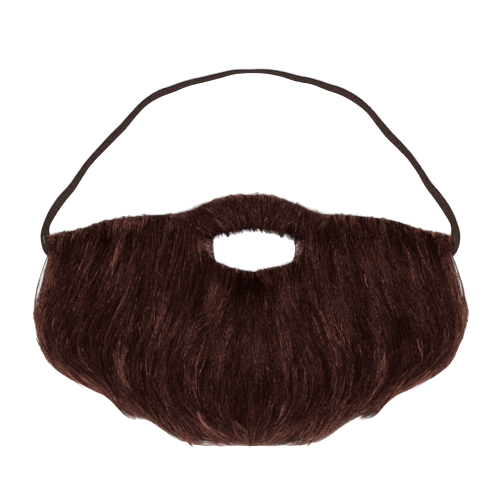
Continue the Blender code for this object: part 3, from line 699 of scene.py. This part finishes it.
# The strap's path over the top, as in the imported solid, with its sewn ends turned in under the hair: place in mm
# and lean in degrees, 0 where it lies flat
STRAP_BENDS = [
    (-128.6, 2.0, 0), (-132.0, 5.6, 0), (-133.6, 12.6, 8), (-132.9, 20.4, 46), (-128.8, 29.2, 32), (-123.0, 37.8, 28),
    (-116.2, 45.7, 40), (-110.4, 54.3, 49), (-104.3, 62.7, 52), (-90.1, 77.9, 42), (-82.8, 85.3, 44),
    (-76.0, 93.2, 51), (-68.8, 100.6, 52), (-60.1, 106.3, 45), (-50.4, 110.0, 46), (-40.6, 113.6, 54),
    (-30.6, 116.0, 56), (-20.4, 118.5, 58), (-10.3, 120.9, 65), (0.0, 121.4, 71), (10.4, 121.3, 65),
    (20.6, 119.6, 59), (30.6, 116.8, 52), (40.8, 114.7, 54), (50.6, 111.3, 46), (60.4, 107.9, 43),
    (69.4, 102.8, 45), (77.4, 96.1, 52), (84.0, 88.1, 46), (90.6, 80.1, 38), (97.9, 72.7, 44),
    (104.8, 65.0, 50), (110.8, 56.5, 51), (116.3, 47.6, 42), (122.7, 39.5, 27), (128.6, 30.9, 27),
    (133.1, 21.6, 45), (134.2, 12.6, 8), (132.5, 5.6, 0), (129.1, 2.0, 0),
]
STRAP_WIDTH, STRAP_THICK = 6.35 * MM, 0.9 * MM
STRAP_FLAT, STRAP_RAMP = 8 * MM, 16 * MM


def strap_frame(count):
    """Along the strap: its middle line, its width's direction, its face's direction and the length so far."""
    path = between_rows(STRAP_BENDS, np.linspace(0, len(STRAP_BENDS) - 1, count))
    place = path[:, :2] * MM
    lean = np.radians(path[:, 2])
    run = unit(np.gradient(place, axis=0))
    square = np.stack([-run[:, 1], run[:, 0]], -1)
    length = np.concatenate([[0.0], np.cumsum(np.linalg.norm(np.diff(place, axis=0), axis=1))])
    to_end = np.minimum(length, length[-1] - length)
    climb = NET_TOP * (1.0 - smooth_step((to_end - STRAP_FLAT) / STRAP_RAMP))
    lowest = STRAP_WIDTH / 2 * np.sin(lean) + STRAP_THICK / 2 * np.cos(lean)
    middle = np.column_stack([place, lowest + climb + 0.05 * MM])
    wide = np.column_stack([square * np.cos(lean)[:, None], np.sin(lean)])
    face = np.column_stack([-square * np.sin(lean)[:, None], np.cos(lean)])
    return middle, wide, face, length


def swept(rings):
    """Triangles of a tube from rings of shape (rings, sides, 3), closed at both ends by fans, and its map: U once
    round the section from 0 to 1 and V from end to end."""
    count, sides = rings.shape[:2]
    step, turn = np.arange(count - 1)[:, None], np.arange(sides)
    here, after = step * sides + turn, step * sides + (turn + 1) % sides
    walls = np.stack([np.stack([here, after, after + sides], -1), np.stack([here, after + sides, here + sides], -1)])
    fan = np.stack([np.zeros(sides - 2, int), np.arange(2, sides), np.arange(1, sides - 1)], -1)
    u, v = np.broadcast_arrays(turn / sides, step / (count - 1))
    u2, v2 = u + 1 / sides, v + 1 / (count - 1)
    flat = np.stack([np.stack([u, v, u2, v, u2, v2], -1), np.stack([u, v, u2, v2, u, v2], -1)]).reshape(-1, 3, 2)
    ends = np.concatenate([fan, fan[:, ::-1]]) / sides
    end_flat = np.stack([ends, np.repeat([0.004, 0.996], len(fan))[:, None] + 0.003 * np.array([0.0, 1.0, -1.0])], -1)
    triangles = np.concatenate([walls.reshape(-1, 3), fan, fan[:, ::-1] + (count - 1) * sides])
    return triangles, np.concatenate([flat, end_flat])


def elastic_band():
    """The woven band: its section is flat, |cos a|^0.45 across and |sin a|^0.55 up, with a thicker cord in each
    edge."""
    middle, wide, face, _ = strap_frame(320)
    turn = np.linspace(0.0, TURN, 15)[:-1]
    flat = np.sign(np.cos(turn)) * np.abs(np.cos(turn)) ** 0.45
    bulge = np.sign(np.sin(turn)) * np.abs(np.sin(turn)) ** 0.55
    edge = 0.62 + 0.38 * smooth_step((np.abs(flat) - 0.6) / 0.25)
    rings = (middle[:, None] + wide[:, None] * (flat * STRAP_WIDTH / 2)[:, None]
             + face[:, None] * (bulge * edge * STRAP_THICK / 2)[:, None])
    triangles, flat_map = swept(rings)
    return rings.reshape(-1, 3), triangles, flat_map


def thread_lines(finish):
    """The sewing: a zigzag of thread across each strap end, and the small dark knot at the moustache's top edge.

    The zigzag's points go from side to side of the strap, 0.3 mm apart along it. The knot is a loop
    (cos a, sin a) that rises and falls as sin 1.5a, and a loose end arches over it as a half sine's power 0.7.
    """
    middle, wide, _, length = strap_frame(540)
    paths = []
    for end in (0.0, length[-1]):
        inwards = 1.0 if end == 0 else -1.0
        place = end + inwards * np.linspace(9.0, 13.4, THREAD_RINGS) * MM
        spot = np.stack([np.interp(place, length, middle[:, k]) for k in range(3)], -1)
        over = np.stack([np.interp(place, length, wide[:, k]) for k in range(3)], -1)
        swing = np.where(np.arange(THREAD_RINGS) % 2, 0.4, -0.4)[:, None] * MM
        paths.append(spot + over * (swing + inwards * 1.0 * MM) + (0.0, 0.0, 0.55 * MM))
    turn = np.linspace(0.0, 4.2 * np.pi, THREAD_RINGS)
    knot = np.stack([0.8 * np.cos(turn), 0.6 * np.sin(turn), 0.35 * np.sin(1.5 * turn)], -1) * MM
    paths.append(knot + np.array([4.6, 41.6, 7.6]) * MM)
    t = np.linspace(0.0, 1.0, THREAD_RINGS)
    paths.append(np.stack([1.2 + 7.0 * t, 39.9 + 2.6 * np.sin(np.pi * t) ** 0.7, 7.4 - t], -1) * MM)
    thick = np.array([0.34, 0.34, 0.7, 0.26])[:, None] * MM * np.ones(THREAD_RINGS)
    points, triangles, chart = fibre_tubes(np.stack(paths), thick, np.array([0.2, 0.2, 0.9, 0.3]))
    return piece("sewing_thread", points, triangles, finish, chart)


def woven_elastic():
    """Elastic of brown polyester over rubber, woven narrow: fine cross ribs and a dull sheen. Its edges are painted
    darker, as painted shade where their cords stand up and shade the face between them."""
    finish, tree, shader = new_material("brown woven elastic")
    chart = add_node(tree, "UVMap", {}, {}, uv_map="OFBake")
    place = add_node(tree, "SeparateXYZ", {}, {0: chart})
    # a rib every 1.2 mm of the band's 394 mm, and a thread every 0.6 mm round it
    stretched = add_node(tree, "Mapping", {"Scale": (24, 330, 1)}, {0: chart})
    ribs = add_node(tree, "TexNoise", {"Scale": 1.0, "Detail": 3.0}, {"Vector": stretched})
    # where round the section the band's edges get their painted shade
    edge = add_node(tree, "ValToRGB", {}, {0: place}, [
        (0.0, "202020"), (0.09, "404040"), (0.17, "ffffff"), (0.32, "ffffff"), (0.41, "202020"), (0.58, "202020"),
        (0.75, "ffffff"), (0.93, "404040")])
    middle = add_node(tree, "ValToRGB", {}, {0: ribs}, [(0.3, "180f0d"), (0.7, "3b2a27")])
    painted_shade_border = add_node(tree, "ValToRGB", {}, {0: ribs}, [(0.3, "050202"), (0.7, "100706")])
    tone = add_node(tree, "Mix", {}, {0: edge, 6: painted_shade_border, 7: middle}, output=2, data_type="RGBA")
    set_surface(tree, shader, tone, 0.7, 0.02, ribs, 0.4, 0.15 * MM)
    return finish


def sewing_thread():
    """Polyester sewing thread, spun and waxed: pale brown on the strap, black in the knot, along the chart."""
    finish, tree, shader = new_material("twisted polyester sewing thread")
    chart = add_node(tree, "UVMap", {}, {}, uv_map="OFBake")
    place = add_node(tree, "SeparateXYZ", {}, {0: chart})
    # 90 turns of the twist over a thread's 8 to 12 mm
    twist = add_node(tree, "TexNoise", {"Scale": 90.0}, {"Vector": chart})
    tone = add_node(tree, "ValToRGB", {}, {0: place}, [(0.4, "9c857c"), (0.6, "0c0808")])
    set_surface(tree, shader, tone, 0.55, 0.5, twist, 0.4, 0.1 * MM)
    return finish


# The net's hole round the mouth, in mm from the mouth's middle, a little inside the hair above and below it
NET_HOLE = [(-27.8, 4.0), (-27.2, 10.8), (-24.6, 14.6), (-11.0, 18.6), (0.0, 20.0), (11.0, 18.6), (23.4, 14.9),
            (25.9, 11.4), (26.7, 4.2), (24.2, -3.2), (16.0, -8.2), (7.0, -11.2), (0.0, -12.9), (-8.0, -11.6),
            (-17.0, -8.2), (-24.9, -3.2)]
# Its tab under the strap's end, at the left corner
NET_TAB = [(-129.5, 13.4), (-134.2, 12.6), (-135.3, 8.0), (-133.6, 4.0), (-129.0, 2.0)]
NET_INSET = 0.012  # how far inside the outer strands its edge runs, as a share
NET_UNDER_MOUSTACHE = 0.17  # where on the moustache's strands its upper edge runs, hidden by the hair
NET_MESH = (2.1, 1.25)  # half the width and height of a diamond in mm
NET_THREAD = (0.5, 0.26)  # the thread's width and thickness in mm


def inside(points, outline):
    """Whether each point lies in a closed outline, by the parity of the edges that a line to its right crosses."""
    near, far = outline, np.roll(outline, -1, 0)
    x, y = points[..., 0, None], points[..., 1, None]
    rise = far[:, 1] - near[:, 1]
    rise = np.where(np.abs(rise) < 1e-12, 1e-12, rise)
    meets = near[:, 0] + (y - near[:, 1]) * (far[:, 0] - near[:, 0]) / rise
    return (((near[:, 1] > y) != (far[:, 1] > y)) & (x < meets)).sum(-1) % 2 == 1


def net_edges():
    """The net's outer edge and its hole: the outer one runs just inside the roots, and below at a share of the
    strands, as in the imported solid. The hole is a smooth closed curve through its table."""
    end = 1.0 - NET_INSET
    row = lambda strands, across, along: np.stack(on_strand(strands, across, along)[:2], -1)
    cheek = np.linspace(-end, -0.32, 16)
    tab = np.array(NET_TAB) * MM
    outer = np.concatenate([
        row(BEARD_STRANDS, cheek, NET_INSET + root_trim(LONG_HAIR, cheek)),
        row(MOUSTACHE_STRANDS, np.linspace(-end, end, 17), NET_UNDER_MOUSTACHE),
        row(BEARD_STRANDS, -cheek[::-1], NET_INSET + root_trim(LONG_HAIR, -cheek[::-1])), tab * (-1, 1),
        row(BEARD_STRANDS, np.linspace(end, -end, 41), NET_REACH), tab[::-1]])
    rows = NET_HOLE[-2:] + NET_HOLE + NET_HOLE[:2]
    hole = between_rows(rows, 2 + np.linspace(0, len(NET_HOLE), 65)[:-1]) * MM + (MOUTH_SHIFT, 0.0)
    return outer, hole


def box_bars(start, end, side, up):
    """Closed bars from start to end, of shape (bars, 3), with half width and half height vectors side and up."""
    ring = [side + up, -side + up, -side - up, side - up]
    points = np.stack([start + k for k in ring] + [end + k for k in ring], 1)
    faces = []
    for k in range(4):
        faces += [(k, (k + 1) % 4, (k + 1) % 4 + 4), (k, (k + 1) % 4 + 4, k + 4)]
    faces = np.array(faces + [(0, 2, 1), (0, 3, 2), (4, 5, 6), (4, 6, 7)])
    triangles = faces[None] + (np.arange(len(start)) * 8)[:, None, None]
    return points.reshape(-1, 3), triangles.reshape(-1, 3)


def net_mesh(finish):
    """The net: two sets of flat threads in diamonds, over and under each other in turn, and an edge thread.

    A crossing is i (a, b) + j (a, -b) with the mesh's half sizes a and b. A thread's piece is kept where both its
    ends are in the net's outline and outside its hole.
    """
    outer, hole = net_edges()
    i, j = np.meshgrid(np.arange(-80, 81), np.arange(-80, 81), indexing="ij")
    place = np.stack([(i + j) * NET_MESH[0], (i - j) * NET_MESH[1]], -1) * MM
    kept = inside(place, outer) & ~inside(place, hole)
    height = np.where((i + j) % 2, 0.13, -0.13) * MM
    wide, high = NET_THREAD[0] * MM / 2, NET_THREAD[1] * MM / 2
    starts, ends = [], []
    for sign, ahead in ((1.0, (slice(1, None), slice(None))), (-1.0, (slice(None), slice(1, None)))):
        back = tuple(slice(None, -1) if k == slice(1, None) else k for k in ahead)
        both = kept[back] & kept[ahead]
        spot = np.concatenate([place, (0.6 * MM + sign * height)[..., None]], -1)
        starts.append(spot[back][both])
        ends.append(spot[ahead][both])
    for outline in (outer, hole):
        edge = np.column_stack([outline, np.full(len(outline), 0.6 * MM)])
        starts.append(edge)
        ends.append(np.roll(edge, -1, 0))
    start, end = np.concatenate(starts), np.concatenate(ends)
    run = unit(end - start)
    side = unit(np.cross((0.0, 0.0, 1.0), run))
    lap = run * wide * 0.4
    points, triangles = box_bars(start - lap, end + lap, side * wide, np.cross(run, side) * high)
    net = piece("net_backing.mesh", points, outward(points, triangles), finish)
    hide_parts("net_backing")
    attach(net, "root")
    return net


def knitted_net():
    """Nylon net, knitted of fine twisted thread and dyed brown: the thread is uneven in colour and stands up in
    short turns."""
    finish, tree, shader = new_material("brown knitted nylon net")
    place = add_node(tree, "TexCoord", {}, {}, output="Object")
    # a turn of the thread every 0.7 mm
    turns = add_node(tree, "TexNoise", {"Scale": 1500.0, "Detail": 2.0}, {"Vector": place})
    tone = add_node(tree, "ValToRGB", {}, {0: turns}, [(0.3, "2a1310"), (0.7, "6a423a")])
    set_surface(tree, shader, tone, 0.85, 0.1, turns, 0.7, 0.25 * MM)
    return finish


fibre = hair_fibre()
packed = packed_fibre()
# the layers of clumps of each kind of hair, from the long ones below to the short ones above
LAYERS = [Clumps(300, 10, 6, (1.0, 4.0), (26, 54), (0.3, 0.44), 1.8, 1.0),
          Clumps(900, 5, 5, (0.4, 2.2), (9, 26), (0.28, 0.46), 1.0, 1.6),
          Clumps(90, 8, 5, (0.6, 2.6), (8, 30), (0.26, 0.4), 1.2, 1.2, (0.0, 0.03))]
CHIN_LAYERS = [Clumps(250, 8, 6, (0.8, 3.6), (24, 55), (0.3, 0.44), 1.5, 1.2),
               Clumps(480, 5, 5, (0.4, 2.2), (12, 30), (0.28, 0.46), 1.0, 1.4),
               Clumps(60, 8, 5, (0.6, 2.6), (8, 30), (0.26, 0.4), 1.2, 1.2, (0.0, 0.03))]
TRIMMED_LAYERS = [Clumps(500, 5, 4, (0.3, 1.6), (6, 14), (0.26, 0.4), 0.9, 1.4),
                  Clumps(500, 5, 4, (0.3, 1.4), (3, 9), (0.28, 0.42), 0.7, 2.2)]
CORNER_LAYERS = [Clumps(240, 5, 5, (0.4, 2.2), (5, 14), (0.26, 0.42), 1.0, 2.2)]
MOUTH_CORNER_LAYERS = [Clumps(110, 4, 4, (0.5, 2.4), (2, 7), (0.2, 0.32), 0.8, 3.6, (0.0, 1.0), 0.38)]
END_LAYERS = [Clumps(90, 5, 4, (0.4, 1.6), (4, 12), (0.26, 0.38), 0.8, 1.6)]
# each hank: its name, hair, ends across, layers of clumps, rolls at its roots, fibres along its tips and seed
HANKS = [
    ("cheek_hair_left", LONG_HAIR, -1.0, -0.2, LAYERS, 950, 880, 21),
    ("cheek_hair_right", LONG_HAIR, 0.2, 1.0, LAYERS, 950, 880, 22),
    ("chin_hair", LONG_HAIR, -0.2, 0.2, CHIN_LAYERS, 520, 560, 23),
    ("moustache_hair", TRIMMED_HAIR, -1.0, 1.0, TRIMMED_LAYERS, 800, 0, 24),
    ("corner_hair_left", CORNER_HAIR, -1.0, 0.0, CORNER_LAYERS, 200, 0, 25),
    ("corner_hair_right", CORNER_HAIR, 0.0, 1.0, CORNER_LAYERS, 200, 0, 26),
    ("mouth_corner_left", MOUTH_CORNER_HAIR, -1.0, 0.0, MOUTH_CORNER_LAYERS, 0, 0, 30),
    ("mouth_corner_right", MOUTH_CORNER_HAIR, 0.0, 1.0, MOUTH_CORNER_LAYERS, 0, 0, 31),
    ("end_hair_left", END_HAIR, -1.0, 0.0, END_LAYERS, 120, 0, 27),
    ("end_hair_right", END_HAIR, 0.0, 1.0, END_LAYERS, 120, 0, 28),
]


def add_fibres(name, tubes):
    """A piece of hair from the paths, thicknesses and tones of its fibres."""
    points, triangles, chart = fibre_tubes(*tubes)
    strands = piece(name, points, triangles, fibre, chart)
    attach(strands, "root")


for name, hair, left, right, layers, rolls, rim, seed in HANKS:
    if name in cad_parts:
        base = undercoat(f"{name}.packed", hair, left, right, packed)
        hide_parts(name)
        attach(base, "root")
    for number, clumps in enumerate(layers):
        add_fibres(f"{name}.layer_{number + 1}", strewn_clumps(hair, left, right, clumps, seed * 10 + number))
    for part, strew, count, salt in (("rolls", root_rolls, rolls, 7), ("fuzz", edge_fuzz, rolls, 8),
                                     ("rim", rim_fibres, rim, 9)):
        if count:
            add_fibres(f"{name}.{part}", strew(hair, left, right, count, seed * 10 + salt))
add_fibres("loose_locks", drawn_locks(300))

points, triangles, chart = elastic_band()
band = piece("elastic_strap.band", points, triangles, woven_elastic(), chart)
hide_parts("elastic_strap")
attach(band, "root")
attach(thread_lines(sewing_thread()), "root")
net_mesh(knitted_net())

stage()
